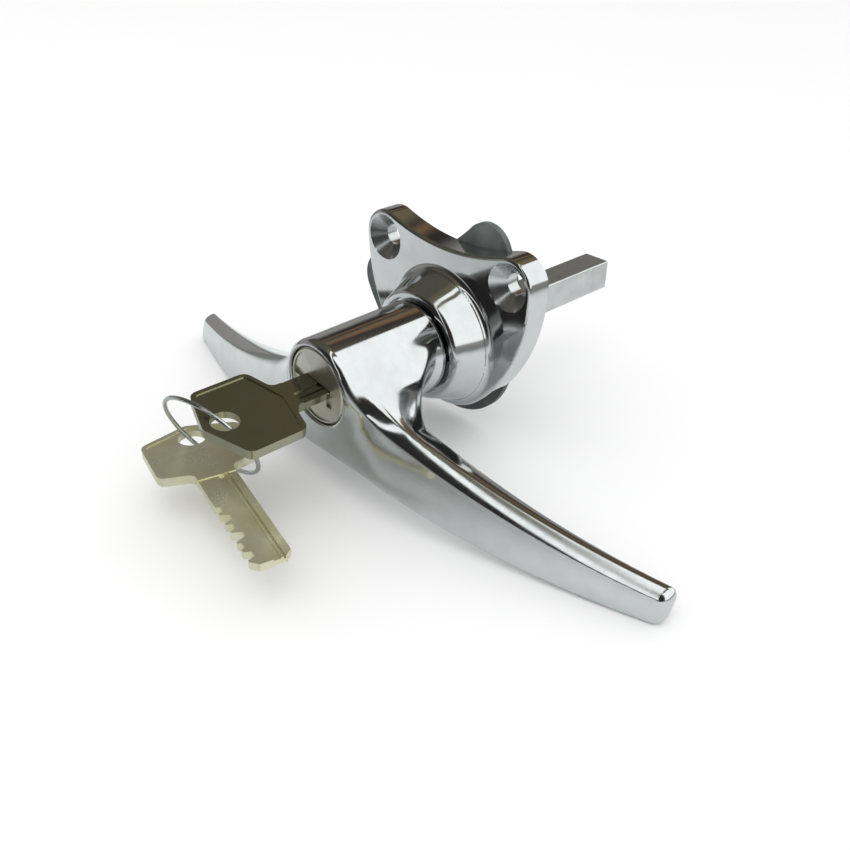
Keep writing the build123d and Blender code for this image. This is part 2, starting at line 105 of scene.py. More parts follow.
# The net: its margins past the handle in millimetres, and the least slope that it is drawn along.
FRONT_MARGIN = 1.2
REAR_MARGIN = 1.0
LEAST_SLOPE = 0.2
NORMAL_STEP = 0.25

# The gap in which the net is joined to the rear, and the radius between the inner and the outer rim.
SEAM_GAP = 0.00005
RIM_LIMIT = 0.007

# The mirrored room: a direction's height, and the colour there.
ROOM_BANDS = (
    (0.0, "wall_colour"),
    (0.26, "wall_colour"),
    (0.44, "dark_colour"),
    (0.52, "dark_colour"),
    (0.57, "brown_colour"),
    (0.61, "dark_colour"),
    (0.66, "olive_colour"),
    (0.72, "brown_colour"),
    (0.78, "dark_colour"),
    (0.9, "olive_colour"),
)

# Each lamp's name, place, side and power.
LAMPS = (
    ("overhead light", (0.25, -0.35, 0.9), 0.7, "overhead_power"),
    ("side light", (-0.8, -0.3, 0.5), 0.5, "side_power"),
)


# Properties


class BootHandleStage(bpy.types.PropertyGroup):
    """Sizes and colours of the floor, the lights and the camera."""

    azimuth: FloatProperty(
        name="Azimuth", description="Camera's turn round the handle", default=math.radians(46.61157),
        subtype="ANGLE",
    )
    elevation: FloatProperty(
        name="Elevation", description="Camera's height angle",
        default=math.radians(32.24731), subtype="ANGLE",
    )
    roll: FloatProperty(
        name="Roll", description="Camera's roll", default=math.radians(0.82227), subtype="ANGLE"
    )
    distance: FloatProperty(
        name="Distance", description="From the pivot to the camera", default=0.22941816, unit="LENGTH"
    )
    shift_right: FloatProperty(
        name="Move right", description="Camera's sideways move from the pivot's line", default=0.00253028,
        unit="LENGTH", precision=5,
    )
    shift_down: FloatProperty(
        name="Move down", description="Camera's downward move from the pivot's line", default=0.01919949,
        unit="LENGTH", precision=5,
    )
    focal_pixels: FloatProperty(
        name="Focal length", description="Focal length in pixels of the square picture", default=949.98586
    )
    pivot: FloatVectorProperty(
        name="Pivot", description="The point that the camera turns about", default=(0.0, -0.0165, 0.0),
        subtype="TRANSLATION",
    )
    floor_colour: FloatVectorProperty(
        name="Floor", description="Floor colour", default=(0.93, 0.93, 0.93), subtype="COLOR", min=0, max=1
    )
    # Painted reflection: the floor's colours as only glossy rays see them, pale near the handle and dark
    # farther off.
    painted_reflection_near: FloatVectorProperty(
        name="Near floor", description="Floor near the handle as metal mirrors it",
        default=(0.86, 0.89, 0.9),
        subtype="COLOR", min=0, max=1,
    )
    painted_reflection_far: FloatVectorProperty(
        name="Far floor", description="Floor farther off as metal mirrors it", default=(0.2, 0.215, 0.2),
        subtype="COLOR", min=0, max=1,
    )
    near_reach: FloatProperty(
        name="Near reach", description="How far the near floor goes", default=0.12, unit="LENGTH"
    )
    far_reach: FloatProperty(
        name="Far reach", description="Where the far floor begins", default=0.26, unit="LENGTH"
    )
    near_centre: FloatVectorProperty(
        name="Near centre", description="Middle of the near floor",
        default=(0.0, -0.03, 0.0), subtype="TRANSLATION",
    )
    # A painted shade on the floor in front, which only glossy rays see.
    shade_centre: FloatVectorProperty(
        name="Shade centre", description="Middle of the shade in front", default=(-0.01, -0.15, 0.0),
        subtype="TRANSLATION",
    )
    shade_reach: FloatProperty(
        name="Shade reach", description="How far the shade in front goes", default=0.13, unit="LENGTH"
    )
    floor_half: FloatProperty(
        name="Floor half side", description="Half the floor's side", default=2.5, unit="LENGTH"
    )
    room_strength: FloatProperty(
        name="Room light", description="Even light of the white room", default=1.05, min=0
    )
    mirrored_strength: FloatProperty(
        name="Mirrored light", description="Strength of the room that metal mirrors", default=1.0, min=0
    )
    overhead_power: FloatProperty(
        name="Overhead light", description="Power of the light above", default=1.3, min=0
    )
    side_power: FloatProperty(
        name="Side light", description="Power of the light on the left", default=0.3, min=0
    )
    window_side: FloatProperty(
        name="Window side", description="How far right the window begins in a direction", default=0.17
    )
    window_top_side: FloatProperty(
        name="Window top side", description="How far right its rear part begins", default=-0.03
    )
    window_top: FloatProperty(
        name="Window rear part", description="Where its rear part begins", default=0.48
    )
    window_front: FloatProperty(
        name="Window front", description="How far to the front it goes", default=-0.25
    )
    tube_way: FloatVectorProperty(
        name="Tube direction", description="Direction across the tube light overhead",
        default=(1.0, 0.2, 0.0),
    )
    tube_left: FloatProperty(name="Tube left", description="Where the tube light begins", default=-0.05)
    tube_right: FloatProperty(name="Tube right", description="Where the tube light ends", default=0.054)
    tube_fade: FloatProperty(name="Tube fade", description="How softly it ends there", default=0.02)
    tube_back: FloatProperty(
        name="Tube back", description="How far back the tube light goes", default=0.33
    )
    softbox_colour: FloatVectorProperty(
        name="Softbox colour", description="Colour of the softbox",
        default=(1.42, 1.47, 1.45), subtype="COLOR",
        min=0, max=4,
    )
    corner_colour: FloatVectorProperty(
        name="Corner colour", description="The room's dim upper left", default=(0.11, 0.105, 0.08),
        subtype="COLOR", min=0, max=1,
    )
    front_way: FloatVectorProperty(
        name="Front direction", description="Middle of the dark side in front", default=(0.2, -1.0, 0.1),
        subtype="DIRECTION",
    )
    front_colour: FloatVectorProperty(
        name="Front colour", description="The dark side of the room in front", default=(0.03, 0.028, 0.028),
        subtype="COLOR", min=0, max=1,
    )
    wall_colour: FloatVectorProperty(
        name="Wall colour", description="The room's walls just above the table",
        default=(0.36, 0.345, 0.33),
        subtype="COLOR", min=0, max=1,
    )
    dark_colour: FloatVectorProperty(
        name="Dark colour", description="The room's upper part behind", default=(0.035, 0.033, 0.032),
        subtype="COLOR", min=0, max=1,
    )
    olive_colour: FloatVectorProperty(
        name="Olive colour", description="The dull olive upper part of the room",
        default=(0.17, 0.155, 0.1),
        subtype="COLOR", min=0, max=1,
    )
    brown_colour: FloatVectorProperty(
        name="Brown colour", description="A warm brown shelf behind", default=(0.3, 0.17, 0.085),
        subtype="COLOR", min=0, max=1,
    )


class BootHandleMetal(bpy.types.PropertyGroup):
    """Colours and finishes of the metal pieces."""

    chrome_colour: FloatVectorProperty(
        name="Chrome", description="Chrome colour",
        default=(0.6, 0.612, 0.615), subtype="COLOR", min=0, max=1,
    )
    chrome_roughness: FloatProperty(
        name="Chrome roughness", description="Polish of the chrome", default=0.07, min=0, max=1
    )
    zinc_colour: FloatVectorProperty(
        name="Zinc", description="Zinc-plated steel",
        default=(0.62, 0.64, 0.63), subtype="COLOR", min=0, max=1,
    )
    nickel_colour: FloatVectorProperty(
        name="Nickel", description="Nickel of the lock's plug", default=(0.66, 0.65, 0.58), subtype="COLOR",
        min=0, max=1,
    )
    # Painted shade: the key in the lock gets a darker copy of the nickel silver, standing in for the dark
    # room that it mirrors.
    shaded_key_colour: FloatVectorProperty(
        name="Key", description="Worn nickel silver of the key in the lock", default=(0.46, 0.45, 0.36),
        subtype="COLOR", min=0, max=1,
    )
    # Painted light: the spare gets a paler copy of the same nickel silver, standing in for the white room's
    # light on it.
    lit_spare_colour: FloatVectorProperty(
        name="Spare key", description="Paler nickel silver of the spare key", default=(0.95, 0.93, 0.74),
        subtype="COLOR", min=0, max=1,
    )
    key_edge_r: FloatProperty(
        name="Key edge radius", description="Rounding of the keys' worn edges",
        default=0.00014, unit="LENGTH",
        precision=5,
    )
    screw_hole_x: FloatProperty(
        name="Screw hole place", description="Screw holes' distance from the middle",
        default=0.02065, unit="LENGTH",
        precision=5,
    )
    screw_hole_z: FloatProperty(
        name="Screw hole height", description="Screw holes' height",
        default=0.0193, unit="LENGTH", precision=5,
    )
    countersink_r: FloatProperty(
        name="Countersink radius", description="Radius of a countersink's mouth",
        default=0.0057, unit="LENGTH",
        precision=5,
    )
    plug_edge_r: FloatProperty(
        name="Plug edge radius", description="Rounding of the plug's edges",
        default=0.00022, unit="LENGTH", precision=5,
    )
    ring_wire_r: FloatProperty(
        name="Ring wire radius", description="Radius of the key ring's wire",
        default=0.0005, unit="LENGTH", precision=5,
    )
    wafer_radius: FloatProperty(
        name="Wafer radius", description="Radius of a wafer's round ends",
        default=0.00642, unit="LENGTH", precision=5,
    )
    wafer_width: FloatProperty(
        name="Wafer width", description="Width across a wafer's flats",
        default=0.0066, unit="LENGTH", precision=5,
    )
    window_length: FloatProperty(
        name="Window length", description="Length of a wafer's window",
        default=0.0092, unit="LENGTH", precision=5,
    )
    window_width: FloatProperty(
        name="Window width", description="Width of a wafer's window",
        default=0.0024, unit="LENGTH", precision=5,
    )
    wafer_turn: FloatProperty(
        name="Wafer turn", description="Turn of the wafers about the axis",
        default=math.radians(8.7), subtype="ANGLE",
    )
    brass_colour: FloatVectorProperty(
        name="Brass", description="Brass of the lock's inner pieces",
        default=(0.74, 0.58, 0.3), subtype="COLOR",
        min=0, max=1,
    )


class BootHandleCasting(bpy.types.PropertyGroup):
    """Sizes of the cast handle in millimetres, with a softer crown, front and junction than its solid."""

    arm_reach: FloatProperty(
        name="Arm reach", description="From the axis to the tip of an arm", default=83.6
    )
    face_y: FloatProperty(name="Face", description="Plane of the lock's face", default=-46.5)
    lip_y: FloatProperty(name="Lip", description="Plane of the collar's lip", default=-16.5)
    face_gap: FloatProperty(name="Gap", description="Gap between the barrel and the lip", default=0.1)
    ridge_setback: FloatProperty(name="Ridge setback", description="Ridge behind the face", default=0.4)
    ridge_height: FloatProperty(name="Ridge height", description="Ridge above the axis", default=4.4)
    sweep: FloatProperty(name="Sweep", description="How far an arm sweeps back", default=14.9)
    sweep_bend: FloatProperty(name="Sweep bend", description="How far the sweep bends", default=5.1)
    droop: FloatProperty(name="Droop", description="How far an arm droops", default=39.8)
    droop_bend: FloatProperty(
        name="Droop bend", description="How far the droop levels out", default=15.7
    )
    top_width: FloatProperty(name="Top width", description="Width of the top at the root", default=9.9)
    top_taper: FloatProperty(name="Top taper", description="Width lost towards the tip", default=5.4)
    root_crown: FloatProperty(
        name="Root crown", description="Crown's place across the top at the root", default=0.08
    )
    tip_crown: FloatProperty(
        name="Tip crown", description="Crown's place across the top at the tip", default=0.64
    )
    crown_height: FloatProperty(
        name="Crown height", description="Crown's height by the width", default=0.26
    )
    root_station: FloatProperty(
        name="Root station", description="Where the arm's own shape begins", default=8.36
    )
    face_height: FloatProperty(
        name="Face height", description="Height of the front at the root", default=17.4
    )
    face_taper: FloatProperty(
        name="Face taper", description="Height lost towards the tip", default=11.1
    )
    face_lean: FloatProperty(
        name="Face lean", description="Lean of the front", default=math.radians(14.0), subtype="ANGLE"
    )
    front_belly: FloatProperty(name="Front belly", description="Bulge of the front", default=0.25)
    round_share: FloatProperty(
        name="Corner share", description="Corner rounding by the width", default=0.25
    )
    root_half: FloatProperty(name="Root half", description="Half the straight low edge", default=17.0)
    root_blend: FloatProperty(name="Root blend", description="Where the flare begins", default=24.0)
    root_flare: FloatProperty(name="Root flare", description="Width gained at the barrel", default=38.0)
    root_fall: FloatProperty(
        name="Root fall", description="How quickly the flare falls off", default=1.6
    )
    root_rise: FloatProperty(
        name="Root rise", description="Rise of the ridge at the barrel", default=7.5
    )
    root_advance: FloatProperty(
        name="Root advance", description="Advance of the ridge there", default=3.4
    )
    tip_r: FloatProperty(name="Tip radius", description="Rounding of the tip", default=1.9)
    tip_share: FloatProperty(name="Tip share", description="How far the tip closes", default=0.8)
    barrel_front_r: FloatProperty(
        name="Barrel front radius", description="Radius at the face", default=11.0
    )
    barrel_back_r: FloatProperty(
        name="Barrel back radius", description="Radius at the lip", default=11.45
    )
    journal_r: FloatProperty(
        name="Journal radius", description="Radius inside the collar", default=11.4
    )
    bore_r: FloatProperty(name="Bore radius", description="Radius of the lock's bore", default=9.45)
    bore_floor_y: FloatProperty(
        name="Bore floor", description="Plane of the bore's floor", default=-17.1
    )
    tail_bore_r: FloatProperty(
        name="Tail bore radius", description="Radius of the tail's bore", default=3.08
    )
    rear_y: FloatProperty(name="Rear plane", description="Where the rear part begins", default=-14.9)
    junction_fillet: FloatProperty(
        name="Junction fillet", description="Fillet at the barrel", default=4.0
    )
    end_round: FloatProperty(name="End rounding", description="Rounding of an arm's end", default=1.8)
    front_round: FloatProperty(
        name="Front rounding", description="Rounding of the face's edge", default=2.0
    )
    bore_round: FloatProperty(
        name="Bore rounding", description="Rounding of the bore's mouth", default=0.5
    )
    lowest_z: FloatProperty(name="Lowest", description="Below the whole handle", default=-28.0)
    highest_z: FloatProperty(name="Highest", description="Above the whole handle", default=13.0)
    cell: FloatProperty(name="Net size", description="Spacing of the skin's net", default=0.5)


class BootHandleRubber(bpy.types.PropertyGroup):
    """Colour of the gasket."""

    rubber_colour: FloatVectorProperty(
        name="Gasket", description="Rubber of the gasket", default=(0.06, 0.07, 0.066), subtype="COLOR",
        min=0, max=1,
    )


# Materials


def colour_mix(tree, share, under, over):
    """Mixes two colours by a share. Each is a plain value or a socket."""
    made = tree.nodes.new("ShaderNodeMix")
    made.data_type = "RGBA"
    tree.links.new(share, made.inputs[0])
    for slot, colour in zip([socket for socket in made.inputs if socket.type == "RGBA"], (under, over)):
        if isinstance(colour, bpy.types.NodeSocket):
            tree.links.new(colour, slot)
        else:
            slot.default_value = (*colour, 1.0)
    return next(socket for socket in made.outputs if socket.type == "RGBA")


def joined_values(tree, operation, first, second):
    """Two sockets joined by a math node."""
    made = tree.nodes.new("ShaderNodeMath")
    made.operation = operation
    tree.links.new(first, made.inputs[0])
    tree.links.new(second, made.inputs[1])
    return made.outputs[0]


class Finish:
    """A material under construction: adds nodes and joins sockets by name."""

    def __init__(self, name):
        self.material = bpy.data.materials.new(name)
        self.material.use_nodes = True
        self.tree = self.material.node_tree
        self.shader = self.tree.nodes["Principled BSDF"]
        self.place = self.tree.nodes.new("ShaderNodeTexCoord").outputs["Object"]

    def node(self, kind, **values):
        """A node with its inputs and settings set by name."""
        made = self.tree.nodes.new(kind)
        for key, value in values.items():
            if key in made.inputs:
                made.inputs[key].default_value = value
            else:
                setattr(made, key, value)
        return made

    def join(self, source, target):
        self.tree.links.new(source, target)

    def stretched(self, scale):
        """Object coordinates with a scale of their own along each axis."""
        mapping = self.node("ShaderNodeMapping", Scale=scale)
        self.join(self.place, mapping.inputs["Vector"])
        return mapping.outputs["Vector"]

    def noise(self, scale, detail=4.0, roughness=0.55, vector=None):
        """A soft random pattern with so many features in a metre."""
        made = self.node("ShaderNodeTexNoise", Scale=scale, Detail=detail, Roughness=roughness)
        self.join(vector or self.place, made.inputs["Vector"])
        return made.outputs["Fac"]

    def ramp(self, source, low, high, low_value=0.0, high_value=1.0):
        """Carries a value from one range over to another, and no farther."""
        made = self.node(
            "ShaderNodeMapRange",
            **{"From Min": low, "From Max": high, "To Min": low_value, "To Max": high_value},
        )
        self.join(source, made.inputs["Value"])
        return made.outputs["Result"]

    def distance(self, centre, kept):
        """How far a place is from a centre, along the kept axes only."""
        flat = self.node("ShaderNodeVectorMath", operation="MULTIPLY")
        self.join(self.place, flat.inputs[0])
        flat.inputs[1].default_value = kept
        away = self.node("ShaderNodeVectorMath", operation="DISTANCE")
        self.join(flat.outputs[0], away.inputs[0])
        away.inputs[1].default_value = centre
        return away.outputs["Value"]

    def tint(self, share, under, over):
        return colour_mix(self.tree, share, under, over)

    def add(self, first, second):
        return joined_values(self.tree, "ADD", first, second)

    def bump(self, height, strength, distance):
        made = self.node("ShaderNodeBump", Strength=strength, Distance=distance)
        self.join(height, made.inputs["Height"])
        self.join(made.outputs["Normal"], self.shader.inputs["Normal"])

    def colour(self, source):
        self.join(source, self.shader.inputs["Base Color"])

    def roughness(self, source):
        self.join(source, self.shader.inputs["Roughness"])

    def constant(self, name, value):
        self.shader.inputs[name].default_value = value


def worn(colour, share):
    """A colour brought down by a share."""
    return tuple(part * share for part in colour)


def floor_finish(name, sizes):
    """Plain pale paint to all rays but glossy ones, which see a painted reflection instead: pale near the
    handle, darker farther off and in a painted shade in front.
    """
    finish = Finish(name)
    plain = finish.tint(finish.noise(PAINT_SCALE), sizes.floor_colour, worn(sizes.floor_colour, 0.99))
    flat = (1, 1, 0)
    # Painted reflection: glossy rays see the floor pale near the handle and darker farther off.
    far = finish.ramp(finish.distance(sizes.near_centre, flat), sizes.near_reach, sizes.far_reach)
    # Painted shade in front, seen only in reflections.
    from_shade = finish.distance(sizes.shade_centre, flat)
    shaded = finish.ramp(from_shade, sizes.shade_reach * 0.2, sizes.shade_reach, 0.88, 0.0)
    darker = joined_values(finish.tree, "MAXIMUM", far, shaded)
    mirrored = finish.tint(darker, sizes.painted_reflection_near, sizes.painted_reflection_far)
    # Glossy rays see the painted reflection, all other rays the plain paint.
    ray = finish.node("ShaderNodeLightPath")
    finish.colour(finish.tint(ray.outputs["Is Glossy Ray"], plain, mirrored))
    finish.constant("Roughness", FLOOR_ROUGHNESS)
    return finish.material


def chrome_finish(name, colour, roughness, holes=()):
    """Bright chrome: soft clouding, fine wiping marks and a barely wavy cast surface."""
    finish = Finish(name)
    cloud = finish.noise(CLOUD_SCALE, 5.0, 0.6)
    marks = finish.noise(WIPE_SCALE, 2.0, vector=finish.stretched((1.0, 0.12, 1.0)))
    finish.colour(finish.tint(finish.ramp(cloud, 0.4, 0.66), colour, worn(colour, 0.92)))
    rough = finish.add(
        finish.ramp(cloud, 0.4, 0.8, roughness, roughness * 2.0), finish.ramp(marks, 0.55, 0.9, 0.0, 0.05)
    )
    for centre, reach in holes:
        away = finish.distance(centre, (1, 0, 1))
        rough = finish.add(rough, finish.ramp(away, reach * 0.95, reach, COUNTERSINK_ROUGHNESS, 0.0))
    finish.roughness(rough)
    finish.constant("Metallic", 1.0)
    finish.bump(finish.noise(WAVE_SCALE, 1.0), 0.012, 0.002)
    return finish.material


def brushed_finish(name, colour, roughness, along, strength=0.12):
    """Plated or machined metal with a grain along one axis."""
    finish = Finish(name)
    grain = finish.noise(GRAIN_SCALE, 3.0, vector=finish.stretched(along))
    cloud = finish.noise(PLATING_SCALE, 4.0)
    finish.colour(finish.tint(finish.ramp(cloud, 0.3, 0.75), colour, worn(colour, 0.8)))
    clouded = finish.ramp(cloud, 0.3, 0.8, roughness, roughness * 1.6)
    finish.roughness(finish.add(clouded, finish.ramp(grain, 0.4, 0.8, 0.0, 0.12)))
    finish.constant("Metallic", 1.0)
    finish.bump(grain, strength, 0.0004)
    return finish.material


def key_finish(name, colour, roughness, metallic, tarnish):
    """Nickel silver with warm tarnished clouds and faint scratches both ways."""
    finish = Finish(name)
    cloud = finish.noise(CLOUD_SCALE, 5.0, 0.6)
    scratch = finish.noise(SCRATCH_SCALE, 4.0, vector=finish.stretched((1.0, 0.08, 1.0)))
    cross = finish.noise(CROSS_SCALE, 4.0, vector=finish.stretched((0.1, 1.0, 1.0)))
    warm = (colour[0] * tarnish, colour[1] * tarnish * 0.94, colour[2] * tarnish * 0.72)
    finish.colour(finish.tint(finish.ramp(cloud, 0.3, 0.78), colour, warm))
    clouded = finish.ramp(cloud, 0.3, 0.8, roughness, roughness * 1.8)
    finish.roughness(finish.add(clouded, finish.ramp(scratch, 0.5, 0.85, 0.0, 0.04)))
    finish.constant("Metallic", metallic)
    finish.bump(finish.add(scratch, cross), 0.02, 0.0003)
    return finish.material


def rubber_finish(name, colour):
    """Dark moulded rubber with a fine grain and dusty patches."""
    finish = Finish(name)
    dust = finish.noise(DUST_SCALE, 5.0, 0.6)
    dusty = tuple(part * 2.4 + 0.02 for part in colour)
    finish.colour(finish.tint(finish.ramp(dust, 0.45, 0.75), colour, dusty))
    finish.roughness(finish.ramp(dust, 0.3, 0.8, 0.5, 0.72))
    finish.bump(finish.noise(MOULD_SCALE, 3.0), 0.25, 0.0003)
    return finish.material


# Meshes


def polished_copy(node, name, material, soft_angle=SOFT_ANGLE, edge_r=0.0):
    """A joined-up copy of a CAD node, smooth over its curves and sharp at its corners."""
    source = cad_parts[node]
    mesh = source.data.copy()
    mesh.name = name
    piece = bpy.data.objects.new(name, mesh)
    bpy.context.scene.collection.objects.link(piece)
    shell = bmesh.new()
    shell.from_mesh(mesh)
    bmesh.ops.remove_doubles(shell, verts=shell.verts, dist=MERGE_DISTANCE)
    soften(shell, soft_angle)
    shell.to_mesh(mesh)
    shell.free()
    mesh.materials.clear()
    mesh.materials.append(material)
    if edge_r:
        bevel = piece.modifiers.new("Worn edges", "BEVEL")
        bevel.width = edge_r
        bevel.segments = 2
        bevel.limit_method = "ANGLE"
        bevel.angle_limit = math.radians(soft_angle)
        bevel.harden_normals = False
    weighted = piece.modifiers.new("Even shading", "WEIGHTED_NORMAL")
    weighted.keep_sharp = True
    weighted.weight = 80
    return piece


# The cast handle: one smooth skin over the barrel and both arms


def unit(ways):
    """Directions brought to length one."""
    return ways / np.linalg.norm(ways, axis=-1, keepdims=True)


def curve(start, middle, end, steps):
    """Points on a curve that leaves its start and reaches its end towards the middle point."""
    share = np.linspace(0.0, 1.0, steps, endpoint=False)[None, :, None]
    left = 1 - share
    return left**2 * start[:, None] + 2 * share * left * middle[:, None] + share**2 * end[:, None]


def blend_union(first, second, width):
    """The nearer of two distances, with a fillet of a width where they meet."""
    overlap = np.maximum(width - np.abs(first - second), 0.0) / width
    return np.minimum(first, second) - overlap**2 * width / 4


def blend_cut(first, second, width):
    """The farther of two distances, with a rounded edge of a width where they meet."""
    return -blend_union(-first, -second, width)


class CastHandle:
    """Distances to the handle's skin in millimetres, from the sizes of its arms and its barrel."""

    def __init__(self, sizes):
        self.sizes = sizes
        self.reaches = np.linspace(sizes.root_station, sizes.arm_reach, OUTLINES)
        self.loops = self.outlines(self.reaches)

    def ridge(self, reach):
        """The (y, z) place of the front's upper edge at each distance from the axis."""
        s = self.sizes
        t = reach / s.arm_reach
        return np.stack(
            [
                s.face_y + s.ridge_setback + s.sweep * t + s.sweep_bend * t**2,
                s.ridge_height - s.droop * t + s.droop_bend * t**2,
            ],
            axis=-1,
        )

    def outlines(self, out):
        """The arm's outline at each distance from the axis, as loops of (y, z) points."""
        s = self.sizes
        near = np.maximum(0.0, 1 - out / s.root_blend)
        flare = s.root_flare * near**s.root_fall
        spent = np.maximum(0.0, out - s.arm_reach + s.tip_r) / s.tip_r
        trim = s.tip_r * (1 - np.sqrt(1 - s.tip_share * spent**2))
        width = s.top_width - s.top_taper * out / s.arm_reach - 2 * trim
        foot = np.maximum(out, s.root_half)
        height = s.face_height - s.face_taper * foot / s.arm_reach
        way = np.array([math.sin(s.face_lean), math.cos(s.face_lean)])
        low = self.ridge(foot) - way * height[:, None] + trim[:, None]
        ridge = self.ridge(out) + np.stack(
            [trim - s.root_advance * near**2, s.root_rise * near**2 - trim], axis=-1
        )
        top = ridge + np.stack([width + flare, 0 * width], axis=-1)
        crown_share = s.root_crown + (s.tip_crown - s.root_crown) * out / s.arm_reach
        crown = ridge + np.stack([crown_share * (width + flare), s.crown_height * width], axis=-1)
        back = low + np.stack([0.8 * (width + flare / 2), 0.1 * (width + flare / 2)], axis=-1)
        sides = []
        length = (width * s.round_share)[:, None]
        corners = [(low, ridge, crown), (crown, top, back), (top, back, low), (back, low, ridge)]
        ends = [(b + unit(a - b) * length, b, b + unit(c - b) * length) for a, b, c in corners]
        at_ridge, at_top, at_back, at_low = ends
        for start, middle, end, steps in (
            (*at_ridge, RIDGE_STEPS),
            (at_ridge[2], crown, at_top[0], CROWN_STEPS),
            (*at_top, TOP_STEPS),
            (at_top[2], (at_top[2] + at_back[0]) / 2, at_back[0], REAR_STEPS),
            (*at_back, BACK_STEPS),
            (at_back[2], (at_back[2] + at_low[0]) / 2, at_low[0], UNDER_STEPS),
            (*at_low, LOW_STEPS),
            (at_low[2], (at_low[2] + at_ridge[0]) / 2 + self.belly(out), at_ridge[0], FRONT_STEPS),
        ):
            sides.append(curve(start, middle, end, steps))
        return np.concatenate(sides, axis=1)

    def belly(self, out):
        """How far the front face bulges at its middle."""
        bulge = self.sizes.front_belly * np.minimum(1.0, out / self.sizes.root_half)
        return np.stack([-bulge, 0 * bulge], axis=-1)

    def arms(self, points):
        """Distance to the arms, from the outline at each point's own distance from the axis."""
        out = np.abs(points[:, 0])
        last = len(self.reaches) - 1.001
        place = np.interp(out, self.reaches, np.arange(len(self.reaches))).clip(0, last)
        index = place.astype(int)
        share = (place - index)[:, None, None]
        result = np.empty(len(points))
        for start in range(0, len(points), POINTS_AT_ONCE):
            part = slice(start, start + POINTS_AT_ONCE)
            nearer = self.loops[index[part]] * (1 - share[part])
            loops = nearer + self.loops[index[part] + 1] * share[part]
            result[part] = loop_distance(points[part, 1:], loops)
        return blend_cut(result, out - self.sizes.arm_reach, self.sizes.end_round)

    def barrel(self, points):
        """Distance to the barrel's side, which widens a little from the face to the lip."""
        s = self.sizes
        run = np.clip((points[:, 1] - s.face_y) / (s.lip_y - s.face_y), 0, 1)
        radius = s.barrel_front_r + (s.barrel_back_r - s.barrel_front_r) * run
        return np.hypot(points[:, 0], points[:, 2]) - radius

    def distance(self, points):
        """Distance to the whole skin, which runs on behind as the plain journal."""
        s = self.sizes
        r = np.hypot(points[:, 0], points[:, 2])
        y = points[:, 1]
        body = blend_union(self.barrel(points), self.arms(points), s.junction_fillet)
        body = np.where(y > s.lip_y - s.face_gap, np.maximum(r - s.journal_r, body), body)
        body = blend_cut(body, s.face_y - y, s.front_round)
        body = blend_cut(body, -np.maximum(r - s.bore_r, y - s.bore_floor_y), s.bore_round)
        return np.maximum(body, -(r - s.tail_bore_r))


def loop_distance(points, loops):
    """Signed distance from (y, z) points to closed loops, one loop for each point."""
    ends = np.roll(loops, -1, axis=1)
    edge = ends - loops
    gap = points[:, None] - loops
    along = np.clip((gap * edge).sum(-1) / np.maximum((edge * edge).sum(-1), 1e-12), 0.0, 1.0)
    away = gap - edge * along[..., None]
    nearest = np.sqrt((away * away).sum(-1).min(axis=1))
    above = points[:, None, 1] >= loops[..., 1]
    below = points[:, None, 1] < ends[..., 1]
    turn = edge[..., 0] * gap[..., 1] > edge[..., 1] * gap[..., 0]
    flips = (above & below & turn) | (~above & ~below & ~turn)
    return np.where(flips.sum(axis=1) % 2 == 1, -nearest, nearest)


def slopes(field, points, step=0.02):
    """The direction in which a distance grows, at each point."""
    result = np.empty_like(points)
    for axis in range(3):
        shift = np.zeros(3)
        shift[axis] = step
        result[:, axis] = (field(points + shift) - field(points - shift)) / (2 * step)
    return result


def near_values(field, axes, cell, step=3):
    """A field on a grid: worked out close to its surface, and roughly elsewhere."""
    rough_axes = [axis[::step] for axis in axes]
    rough_grid = np.stack(np.meshgrid(*rough_axes, indexing="ij"), axis=-1).reshape(-1, 3)
    rough = field(rough_grid).reshape([len(axis) for axis in rough_axes])
    nearest = [
        np.minimum((np.arange(len(axis)) + step // 2) // step, len(rough_axis) - 1)
        for axis, rough_axis in zip(axes, rough_axes)
    ]
    values = rough[np.ix_(*nearest)]
    close = np.argwhere(np.abs(values) < 2 * step * cell)
    places = np.stack([axes[i][close[:, i]] for i in range(3)], axis=-1)
    values[tuple(close.T)] = field(places)
    return values


